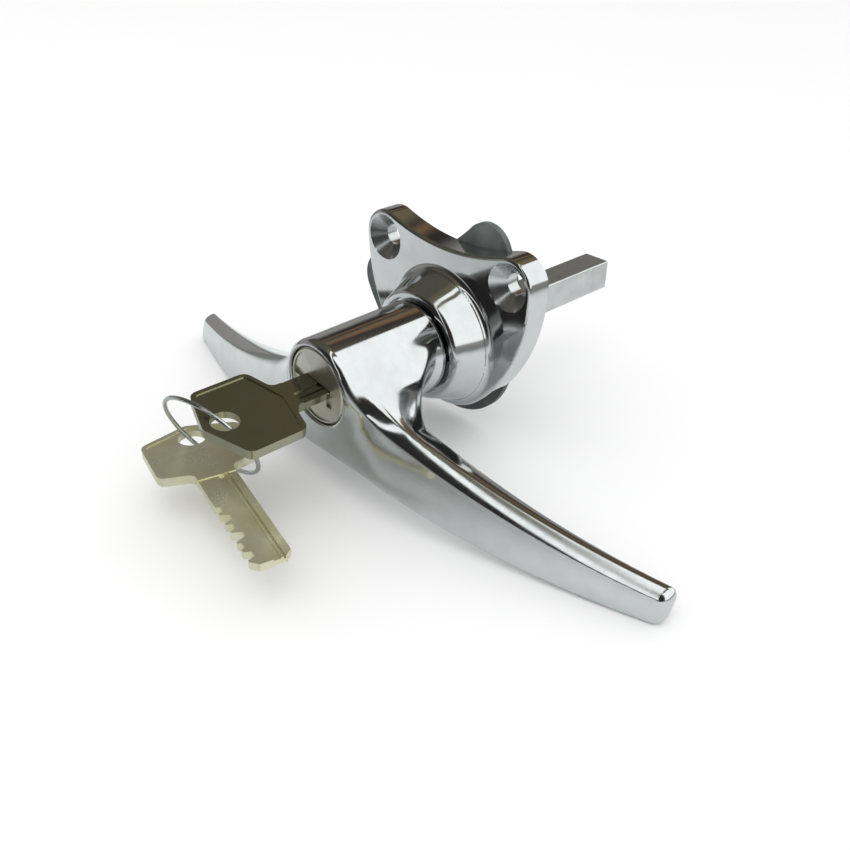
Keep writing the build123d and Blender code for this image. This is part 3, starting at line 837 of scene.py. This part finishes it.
def skin(field, low, high, cell):
    """A net of quads drawn onto the surface where a distance is zero, open at the grid's last plane."""
    counts = np.ceil((high - low) / cell).astype(int) + 1
    axes = [low[i] + cell * np.arange(counts[i]) for i in range(3)]
    values = near_values(field, axes, cell)
    inside = values < 0
    corners = [(i, j, k) for i in (0, 1) for j in (0, 1) for k in (0, 1)]
    total = sum(
        inside[tuple(slice(o, o + n - 1) for o, n in zip(corner, counts))].astype(int)
        for corner in corners
    )
    cells = np.argwhere((total > 0) & (total < len(corners)))
    number = -np.ones(tuple(n - 1 for n in counts), dtype=int)
    number[tuple(cells.T)] = np.arange(len(cells))
    summed = np.zeros((len(cells), 3))
    hits = np.zeros(len(cells))
    for first in corners:
        for axis in range(3):
            if first[axis]:
                continue
            second = list(first)
            second[axis] = 1
            a = values[tuple((cells + first).T)]
            b = values[tuple((cells + second).T)]
            crossed = (a < 0) != (b < 0)
            share = np.where(crossed, a / np.where(crossed, a - b, 1.0), 0.0)
            place = cells + np.array(first, dtype=float)
            place[:, axis] += share
            summed += np.where(crossed[:, None], place, 0.0)
            hits += crossed
    points = low + cell * summed / hits[:, None]
    quads = []
    for axis in range(3):
        u, v = (axis + 1) % 3, (axis + 2) % 3
        ahead = tuple(slice(1, None) if i == axis else slice(None) for i in range(3))
        behind = tuple(slice(None, -1) if i == axis else slice(None) for i in range(3))
        crossed = inside[behind] != inside[ahead]
        for place in np.argwhere(crossed):
            if not (0 < place[u] < counts[u] - 1 and 0 < place[v] < counts[v] - 1):
                continue
            around = []
            for du, dv in ((0, 0), (-1, 0), (-1, -1), (0, -1)):
                at = place.copy()
                at[u] += du
                at[v] += dv
                around.append(number[tuple(at)])
            if not inside[tuple(place)]:
                around.reverse()
            quads.append(around)
    ways = slopes(field, points)
    size = np.maximum((ways * ways).sum(-1), LEAST_SLOPE)
    for _ in range(2):
        move = np.clip(field(points) / size, -cell, cell)
        points = points - ways * move[:, None]
    return points, quads


def cut_across(shell, plane, **cleared):
    """Cuts a shell at a plane across the axis and clears one side of it."""
    everything = shell.verts[:] + shell.edges[:] + shell.faces[:]
    bmesh.ops.bisect_plane(shell, geom=everything, plane_co=(0, plane, 0), plane_no=(0, 1, 0), **cleared)


def joined_skin(front, field, rear_source, plane, material):
    """The drawn skin in front of a plane joined to the CAD mesh behind it, as one closed shell."""
    shell = bmesh.new()
    shell.from_mesh(front)
    cut_across(shell, plane - SEAM_GAP, clear_outer=True)
    shell.to_mesh(front)
    shell.free()
    shell = bmesh.new()
    shell.from_mesh(rear_source)
    bmesh.ops.remove_doubles(shell, verts=shell.verts, dist=MERGE_DISTANCE)
    cut_across(shell, plane, clear_inner=True)
    soften(shell, SOFT_ANGLE)
    shell.from_mesh(front)
    for outer in (True, False):
        rim = [edge for edge in shell.edges if edge.is_boundary and (rim_radius(edge) > RIM_LIMIT) == outer]
        bmesh.ops.bridge_loops(shell, edges=rim)
    bmesh.ops.recalc_face_normals(shell, faces=shell.faces)
    for face in shell.faces:
        face.smooth = True
        face.material_index = 0
    mesh = bpy.data.meshes.new(front.name + "_whole")
    shell.to_mesh(mesh)
    shell.free()
    mesh.materials.append(material)
    places = vertex_places(mesh)
    drawn = places[:, 1] < plane - MM
    ways = np.zeros_like(places)
    ways[drawn] = unit(slopes(field, places[drawn] / MM, NORMAL_STEP))
    mesh.normals_split_custom_set_from_vertices(ways.tolist())
    return mesh


def vertex_places(mesh):
    """A mesh's vertices as an array, in metres."""
    places = np.empty(3 * len(mesh.vertices))
    mesh.vertices.foreach_get("co", places)
    return places.reshape(-1, 3)


def rim_radius(edge):
    """An edge's distance from the axis, in metres."""
    return math.hypot(edge.verts[0].co.x, edge.verts[0].co.z)


def soften(shell, soft_angle):
    """Smooth over gentle bends and sharp at corners."""
    for face in shell.faces:
        face.smooth = True
    limit = math.radians(soft_angle)
    for edge in shell.edges:
        edge.smooth = edge.is_boundary or (edge.is_manifold and edge.calc_face_angle(0.0) < limit)


# Pieces that follow a rule, grown by geometry nodes


class Growth:
    """A geometry node tree under construction, with named sizes, and the plain mesh that it grows."""

    def __init__(self, name):
        self.name = name
        self.tree = bpy.data.node_groups.new(name, "GeometryNodeTree")
        self.tree.interface.new_socket("Geometry", in_out="OUTPUT", socket_type="NodeSocketGeometry")
        self.source = self.tree.nodes.new("NodeGroupInput")
        self.sizes = {}

    def size(self, name, kind, value):
        """A named input of the tree, with its value."""
        socket = self.tree.interface.new_socket(name, in_out="INPUT", socket_type="NodeSocket" + kind)
        self.sizes[socket.identifier] = value
        return self.source.outputs[name]

    def node(self, kind, inputs=None, **settings):
        """A node with its settings, and its inputs set to values or joined to other sockets."""
        made = self.tree.nodes.new(kind)
        for key, value in settings.items():
            setattr(made, key, value)
        for key, value in (inputs or {}).items():
            if isinstance(value, bpy.types.NodeSocket):
                self.tree.links.new(value, made.inputs[key])
            else:
                made.inputs[key].default_value = value
        return made

    def join(self, *shapes):
        """Several shapes as one."""
        made = self.tree.nodes.new("GeometryNodeJoinGeometry")
        for shape in shapes:
            self.tree.links.new(shape, made.inputs[0])
        return made.outputs[0]

    def grow(self, shape, material):
        """Ends the tree, evaluates it and gives back the grown piece as a plain mesh object."""
        real = self.node("GeometryNodeRealizeInstances", {0: shape})
        coloured = self.node("GeometryNodeSetMaterial", {"Geometry": real.outputs[0], "Material": material})
        out = self.tree.nodes.new("NodeGroupOutput")
        self.tree.links.new(coloured.outputs[0], out.inputs[0])
        host = bpy.data.objects.new(self.name, bpy.data.meshes.new(self.name + "_seed"))
        bpy.context.scene.collection.objects.link(host)
        modifier = host.modifiers.new("Growth", "NODES")
        modifier.node_group = self.tree
        for identifier, value in self.sizes.items():
            modifier[identifier] = value
        bpy.context.view_layer.update()
        grown = host.evaluated_get(bpy.context.evaluated_depsgraph_get())
        mesh = bpy.data.meshes.new_from_object(grown)
        host.modifiers.remove(modifier)
        host.data = mesh
        mesh.name = self.name
        return host


def circle_through(points):
    """Centre, normal and radius of the circle that best fits points."""
    middle = points.mean(axis=0)
    _, _, ways = np.linalg.svd(points - middle, full_matrices=False)
    flat = (points - middle) @ ways[:2].T
    sums = np.column_stack([2 * flat, np.ones(len(flat))])
    a, b, c = np.linalg.lstsq(sums, (flat**2).sum(axis=1), rcond=None)[0]
    return middle + a * ways[0] + b * ways[1], ways[2], math.sqrt(c + a * a + b * b)


def dress(node, material):
    """Gives a CAD node its finish."""
    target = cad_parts[node]
    target.data.materials.clear()
    target.data.materials.append(material)


def stand_for(piece, node, body):
    """Puts a piece in a CAD node's place and on its body."""
    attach(piece, body)
    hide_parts(node)


# Surroundings


class Room:
    """The room round the table: one even light for dull surfaces, and what polished metal mirrors."""

    def __init__(self, tree):
        self.tree = tree
        self.way = tree.nodes.new("ShaderNodeTexCoord").outputs["Generated"]

    def join(self, source, target):
        self.tree.links.new(source, target)

    def height_bands(self, stops):
        """Colours by the height of a direction, from the horizon up to the zenith."""
        split = self.tree.nodes.new("ShaderNodeSeparateXYZ")
        self.join(self.way, split.inputs[0])
        band = self.tree.nodes.new("ShaderNodeValToRGB")
        self.join(split.outputs["Z"], band.inputs["Fac"])
        ramp = band.color_ramp
        while len(ramp.elements) < len(stops):
            ramp.elements.new(1.0)
        for element, (position, colour) in zip(ramp.elements, stops):
            element.position = position
            element.color = (*colour, 1.0)
        return band.outputs["Color"]

    def share_along(self, way, low, high):
        """Nothing where a direction lies less than a low edge along a way, all past a high one."""
        dot = self.tree.nodes.new("ShaderNodeVectorMath")
        dot.operation = "DOT_PRODUCT"
        self.join(self.way, dot.inputs[0])
        dot.inputs[1].default_value = way
        share = self.tree.nodes.new("ShaderNodeMapRange")
        share.interpolation_type = "SMOOTHSTEP"
        share.inputs["From Min"].default_value = low
        share.inputs["From Max"].default_value = high
        self.join(dot.outputs["Value"], share.inputs["Value"])
        return share.outputs["Result"]

    def patch(self, middle, outer, inner):
        """A round patch about a direction, from the cosine of its outer edge to that of its inner one."""
        return self.share_along(Vector(middle).normalized(), outer, inner)

    def beyond(self, way, edge, fade=0.012):
        """The part of the room that lies farther than an edge along a way."""
        return self.share_along(way, edge - fade, edge + fade)

    def short_of(self, way, edge, fade=0.012):
        """The part of the room that lies nearer than an edge along a way."""
        return self.beyond([-part for part in way], -edge, fade)

    def both(self, first, second):
        return joined_values(self.tree, "MULTIPLY", first, second)

    def either(self, first, second):
        return joined_values(self.tree, "MAXIMUM", first, second)

    def cover(self, under, share, colour):
        """Lays a colour over what is there already."""
        return colour_mix(self.tree, share, under, colour)

    def finish(self, mirrored, mirrored_strength, even_strength):
        """Shows the mirrored room to glossy rays and an even white one to all others."""
        even = self.tree.nodes.new("ShaderNodeBackground")
        even.inputs["Color"].default_value = (1, 1, 1, 1)
        even.inputs["Strength"].default_value = even_strength
        seen = self.tree.nodes.new("ShaderNodeBackground")
        self.join(mirrored, seen.inputs["Color"])
        seen.inputs["Strength"].default_value = mirrored_strength
        ray = self.tree.nodes.new("ShaderNodeLightPath")
        mix = self.tree.nodes.new("ShaderNodeMixShader")
        self.join(ray.outputs["Is Glossy Ray"], mix.inputs[0])
        self.join(even.outputs[0], mix.inputs[1])
        self.join(seen.outputs[0], mix.inputs[2])
        out = self.tree.nodes.new("ShaderNodeOutputWorld")
        self.join(mix.outputs[0], out.inputs["Surface"])


# Operators


class BOOT_HANDLE_OT_stage(bpy.types.Operator):
    """Makes the floor, the soft light and the camera"""

    bl_idname = "boot_handle.stage"
    bl_label = "Stage"

    def execute(self, context):
        sizes = context.scene.boot_handle_stage
        self.floor(context, sizes)
        self.light(context, sizes)
        self.camera(context, sizes)
        return {"FINISHED"}

    def floor(self, context, sizes):
        mesh = bpy.data.meshes.new("floor")
        half = sizes.floor_half
        height = CAD_BOX[0][2] - FLOOR_GAP
        turns = ((-1, -1), (1, -1), (1, 1), (-1, 1))
        corners = [(across * half, along * half, height) for across, along in turns]
        mesh.from_pydata(corners, [], [(0, 1, 2, 3)])
        floor = bpy.data.objects.new("floor", mesh)
        context.scene.collection.objects.link(floor)
        mesh.materials.append(floor_finish("floor_paint", sizes))

    def light(self, context, sizes):
        world = bpy.data.worlds.new("studio")
        context.scene.world = world
        world.use_nodes = True
        world.node_tree.nodes.clear()
        room = Room(world.node_tree)
        walls = room.height_bands([(height, getattr(sizes, colour)) for height, colour in ROOM_BANDS])
        right_way, back_way, up_way = (1, 0, 0), (0, 1, 0), (0, 0, 1)
        corner = room.both(room.short_of(right_way, -0.24, 0.06), room.short_of(back_way, 0.5, 0.04))
        corner = room.both(corner, room.beyond(up_way, 0.45, 0.1))
        mirrored = room.cover(walls, corner, sizes.corner_colour)
        front = room.patch(sizes.front_way, 0.35, 0.75)
        mirrored = room.cover(mirrored, front, sizes.front_colour)
        rear_part = room.both(
            room.beyond(right_way, sizes.window_top_side), room.beyond(back_way, sizes.window_top)
        )
        window = room.either(room.beyond(right_way, sizes.window_side), rear_part)
        window = room.both(window, room.beyond(back_way, sizes.window_front, 0.1))
        left = room.beyond(sizes.tube_way, sizes.tube_left)
        right = room.short_of(sizes.tube_way, sizes.tube_right, sizes.tube_fade)
        tube = room.both(room.both(left, right), room.short_of(back_way, sizes.tube_back))
        lit = room.both(room.either(window, tube), room.beyond(up_way, 0.08, 0.03))
        mirrored = room.cover(mirrored, lit, sizes.softbox_colour)
        room.finish(mirrored, sizes.mirrored_strength, sizes.room_strength)
        for name, place, side, power in LAMPS:
            data = bpy.data.lights.new(name, "AREA")
            data.size = side
            data.energy = getattr(sizes, power)
            lamp = bpy.data.objects.new(name, data)
            lamp.location = place
            lamp.rotation_euler = (-Vector(place)).to_track_quat("-Z", "Y").to_euler()
            lamp.visible_glossy = False
            context.scene.collection.objects.link(lamp)
        context.scene.view_settings.view_transform = "Standard"

    def camera(self, context, sizes):
        a, e, r = sizes.azimuth, sizes.elevation, sizes.roll
        right = Vector((math.cos(a), math.sin(a), 0))
        back = Vector((math.sin(a) * math.cos(e), -math.cos(a) * math.cos(e), math.sin(e)))
        up = back.cross(right)
        rolled_right = math.cos(r) * right + math.sin(r) * up
        rolled_up = -math.sin(r) * right + math.cos(r) * up
        place = (
            Vector(sizes.pivot)
            + rolled_right * sizes.shift_right
            - rolled_up * sizes.shift_down
            + back * sizes.distance
        )
        data = bpy.data.cameras.new("camera")
        data.sensor_width = SENSOR_MM
        data.lens = sizes.focal_pixels * SENSOR_MM / IMAGE_SIDE
        data.clip_start = 0.01
        camera = bpy.data.objects.new("camera", data)
        turn = Matrix((rolled_right, rolled_up, back)).transposed().to_4x4()
        camera.matrix_world = Matrix.Translation(place) @ turn
        context.scene.collection.objects.link(camera)
        context.scene.camera = camera


class BOOT_HANDLE_OT_base(bpy.types.Operator):
    """Chrome for the base plate with its collar"""

    bl_idname = "boot_handle.base"
    bl_label = "Base plate"

    def execute(self, context):
        sizes = context.scene.boot_handle_metal
        holes = [
            ((side * sizes.screw_hole_x, 0, sizes.screw_hole_z), sizes.countersink_r) for side in (-1, 1)
        ]
        chrome = chrome_finish("base_chrome", sizes.chrome_colour, sizes.chrome_roughness, holes)
        piece = polished_copy("base_plate", "polished_base", chrome, 40.0)
        stand_for(piece, "base_plate", "base")
        return {"FINISHED"}


class BOOT_HANDLE_OT_gasket(bpy.types.Operator):
    """Rubber for the gasket"""

    bl_idname = "boot_handle.gasket"
    bl_label = "Gasket"

    def execute(self, context):
        sizes = context.scene.boot_handle_rubber
        dress("gasket", rubber_finish("gasket_rubber", sizes.rubber_colour))
        return {"FINISHED"}


class BOOT_HANDLE_OT_handle(bpy.types.Operator):
    """Chrome for the barrel and its two arms"""

    bl_idname = "boot_handle.handle"
    bl_label = "Handle"

    def execute(self, context):
        metal = context.scene.boot_handle_metal
        sizes = context.scene.boot_handle_casting
        chrome = chrome_finish("handle_chrome", metal.chrome_colour, metal.chrome_roughness)
        casting = CastHandle(sizes)
        half = sizes.arm_reach + 1.5 * sizes.cell
        low = np.array([-half, sizes.face_y - FRONT_MARGIN, sizes.lowest_z])
        high = np.array([half, sizes.rear_y + REAR_MARGIN, sizes.highest_z])
        points, quads = skin(casting.distance, low, high, sizes.cell)
        front = bpy.data.meshes.new("cast_handle")
        front.from_pydata((points * MM).tolist(), [], quads)
        rear_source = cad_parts["handle"].data
        mesh = joined_skin(front, casting.distance, rear_source, sizes.rear_y * MM, chrome)
        piece = bpy.data.objects.new("cast_handle", mesh)
        context.scene.collection.objects.link(piece)
        stand_for(piece, "handle", "handle")
        return {"FINISHED"}


class BOOT_HANDLE_OT_spindle(bpy.types.Operator):
    """Zinc for the spindle, its pin and its retainers"""

    bl_idname = "boot_handle.spindle"
    bl_label = "Spindle and retainers"

    def execute(self, context):
        sizes = context.scene.boot_handle_metal
        dress("spindle", brushed_finish("spindle_zinc", sizes.zinc_colour, 0.26, (1.0, 0.06, 1.0)))
        retainer = brushed_finish("retainer_zinc", sizes.zinc_colour, 0.32, (1.0, 1.0, 1.0))
        for node in (
            "spindle_pin",
            "thrust_washer",
            "spring_washer",
            "circlip",
            "plug_clip",
            "locking_bolt",
        ):
            dress(node, retainer)
        return {"FINISHED"}


class BOOT_HANDLE_OT_lock(bpy.types.Operator):
    """Nickel and brass for the lock's sleeve, plug and wafers"""

    bl_idname = "boot_handle.lock"
    bl_label = "Lock"

    def execute(self, context):
        sizes = context.scene.boot_handle_metal
        nickel = brushed_finish("plug_nickel", sizes.nickel_colour, 0.24, (1.0, 1.0, 0.1))
        plug = polished_copy("lock_plug", "bright_plug", nickel, edge_r=sizes.plug_edge_r)
        stand_for(plug, "lock_plug", "plug")
        brass = brushed_finish("lock_brass", sizes.brass_colour, 0.3, (1.0, 0.1, 1.0))
        dress("lock_sleeve", brass)
        stand_for(self.wafers(sizes, brass), "wafer_1", "plug")
        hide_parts(*(f"wafer_{number}" for number in range(2, 7)))
        return {"FINISHED"}

    def wafers(self, sizes, material):
        """Flat plates with a window each, repeated along the plug."""
        low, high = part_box("wafer_1")
        next_low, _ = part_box("wafer_2")
        growth = Growth("grown_wafers")
        radius = growth.size("Plate radius", "Float", sizes.wafer_radius)
        half = growth.size("Half width", "Float", sizes.wafer_width / 2)
        thickness = growth.size("Thickness", "Float", high[1] - low[1])
        disc = growth.node("GeometryNodeCurvePrimitiveCircle", {"Resolution": 96, "Radius": radius})
        place = growth.node("GeometryNodeInputPosition")
        split = growth.node("ShaderNodeSeparateXYZ", {0: place.outputs[0]})
        lowest = growth.node("ShaderNodeMath", {0: half, 1: -1.0}, operation="MULTIPLY")
        kept = growth.node(
            "ShaderNodeClamp", {"Value": split.outputs["Y"], "Min": lowest.outputs[0], "Max": half}
        )
        joined = growth.node("ShaderNodeCombineXYZ", {"X": split.outputs["X"], "Y": kept.outputs[0]})
        outline = growth.node(
            "GeometryNodeSetPosition", {"Geometry": disc.outputs[0], "Position": joined.outputs[0]}
        )
        window = growth.node(
            "GeometryNodeCurvePrimitiveQuadrilateral",
            {
                "Width": growth.size("Window length", "Float", sizes.window_length),
                "Height": growth.size("Window width", "Float", sizes.window_width),
            },
        )
        face = growth.node("GeometryNodeFillCurve", {0: growth.join(outline.outputs[0], window.outputs[0])})
        raised = growth.node(
            "GeometryNodeExtrudeMesh",
            {"Mesh": face.outputs[0], "Offset Scale": thickness, "Individual": False},
        )
        under = growth.node("GeometryNodeFlipFaces", {"Mesh": face.outputs[0]})
        plate = growth.node(
            "GeometryNodeMergeByDistance",
            {"Geometry": growth.join(raised.outputs["Mesh"], under.outputs[0]), "Distance": 1e-6},
        )
        row = growth.node(
            "GeometryNodeMeshLine",
            {
                "Count": growth.size("Count", "Int", 6),
                "Start Location": growth.size("First", "Vector", [0.0, high[1], 0.0]),
                "Offset": growth.size("Pitch", "Vector", [0.0, next_low[1] - low[1], 0.0]),
            },
        )
        laid = growth.node(
            "GeometryNodeInstanceOnPoints",
            {
                "Points": row.outputs[0],
                "Instance": plate.outputs[0],
                "Rotation": growth.size("Turn", "Rotation", [math.pi / 2, sizes.wafer_turn, 0.0]),
            },
        )
        return growth.grow(laid.outputs[0], material)


class BOOT_HANDLE_OT_keys(bpy.types.Operator):
    """Worn nickel silver for both keys, darkened on the key in the lock as painted shade and paled on the
    spare as painted light, and wire for their ring
    """

    bl_idname = "boot_handle.keys"
    bl_label = "Keys and ring"

    def execute(self, context):
        sizes = context.scene.boot_handle_metal
        # Painted shade on the key in the lock and painted light on the spare: two copies of one nickel
        # silver.
        dark = key_finish("key_bronze", sizes.shaded_key_colour, 0.16, 1.0, 0.8)
        pale = key_finish("spare_silver", sizes.lit_spare_colour, 0.24, 0.86, 0.8)
        for node, name, body, finish in (
            ("key", "worn_key", "key", dark),
            ("spare_key", "worn_spare_key", "spare", pale),
        ):
            piece = polished_copy(node, name, finish, edge_r=sizes.key_edge_r)
            stand_for(piece, node, body)
        ring = self.ring(sizes)
        stand_for(ring, "key_ring", "ring")
        return {"FINISHED"}

    def ring(self, sizes):
        """The split ring: wire along most of a circle, in the place of its solid."""
        places = vertex_places(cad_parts["key_ring"].data)
        centre, normal, radius = circle_through(places)
        first = Vector(places[0] - centre)
        up = Vector(normal)
        right = (first - up * first.dot(up)).normalized()
        ahead = up.cross(right)
        turns = np.sort(np.arctan2((places - centre) @ ahead, (places - centre) @ right))
        gaps = np.diff(np.append(turns, turns[0] + 2 * math.pi))
        widest = int(gaps.argmax())
        growth = Growth("grown_ring")
        arc = growth.node(
            "GeometryNodeCurveArc",
            {
                "Resolution": growth.size("Steps", "Int", 160),
                "Radius": growth.size("Ring radius", "Float", radius),
                "Start Angle": growth.size("Start", "Float", float(turns[widest] + gaps[widest])),
                "Sweep Angle": growth.size("Sweep", "Float", float(2 * math.pi - gaps[widest])),
            },
        )
        wire = growth.node(
            "GeometryNodeCurvePrimitiveCircle",
            {"Resolution": 20, "Radius": growth.size("Wire radius", "Float", sizes.ring_wire_r)},
        )
        tube = growth.node(
            "GeometryNodeCurveToMesh",
            {"Curve": arc.outputs["Curve"], "Profile Curve": wire.outputs["Curve"], "Fill Caps": True},
        )
        smooth = growth.node("GeometryNodeSetShadeSmooth", {"Geometry": tube.outputs["Mesh"]})
        turn = Matrix((right, ahead, up)).transposed().to_euler()
        placed = growth.node(
            "GeometryNodeTransform",
            {
                "Geometry": smooth.outputs[0],
                "Translation": growth.size("Centre", "Vector", list(centre)),
                "Rotation": growth.size("Turn", "Rotation", list(turn)),
            },
        )
        steel = brushed_finish("ring_steel", sizes.zinc_colour, 0.16, (1.0, 1.0, 1.0))
        return growth.grow(placed.outputs[0], steel)


class BOOT_HANDLE_PT_panel(bpy.types.Panel):
    """Lists the pieces of the boot handle"""

    bl_idname = "BOOT_HANDLE_PT_panel"
    bl_label = "Boot handle"
    bl_space_type = "VIEW_3D"
    bl_region_type = "UI"
    bl_category = "Boot handle"

    def draw(self, context):
        for step in STEPS:
            self.layout.operator(step.bl_idname)


GROUPS = {
    "boot_handle_stage": BootHandleStage,
    "boot_handle_metal": BootHandleMetal,
    "boot_handle_casting": BootHandleCasting,
    "boot_handle_rubber": BootHandleRubber,
}
STEPS = (
    BOOT_HANDLE_OT_stage,
    BOOT_HANDLE_OT_base,
    BOOT_HANDLE_OT_gasket,
    BOOT_HANDLE_OT_handle,
    BOOT_HANDLE_OT_spindle,
    BOOT_HANDLE_OT_lock,
    BOOT_HANDLE_OT_keys,
)


def register():
    for group in GROUPS.values():
        bpy.utils.register_class(group)
    for name, group in GROUPS.items():
        setattr(bpy.types.Scene, name, PointerProperty(type=group))
    for step in STEPS:
        bpy.utils.register_class(step)
    bpy.utils.register_class(BOOT_HANDLE_PT_panel)


def unregister():
    bpy.utils.unregister_class(BOOT_HANDLE_PT_panel)
    for step in reversed(STEPS):
        bpy.utils.unregister_class(step)
    for name in GROUPS:
        delattr(bpy.types.Scene, name)
    for group in reversed(list(GROUPS.values())):
        bpy.utils.unregister_class(group)


def main():
    register()
    bpy.ops.boot_handle.stage()
    bpy.ops.boot_handle.base()
    bpy.ops.boot_handle.gasket()
    bpy.ops.boot_handle.handle()
    bpy.ops.boot_handle.spindle()
    bpy.ops.boot_handle.lock()
    bpy.ops.boot_handle.keys()


if __name__ == "__main__":
    main()
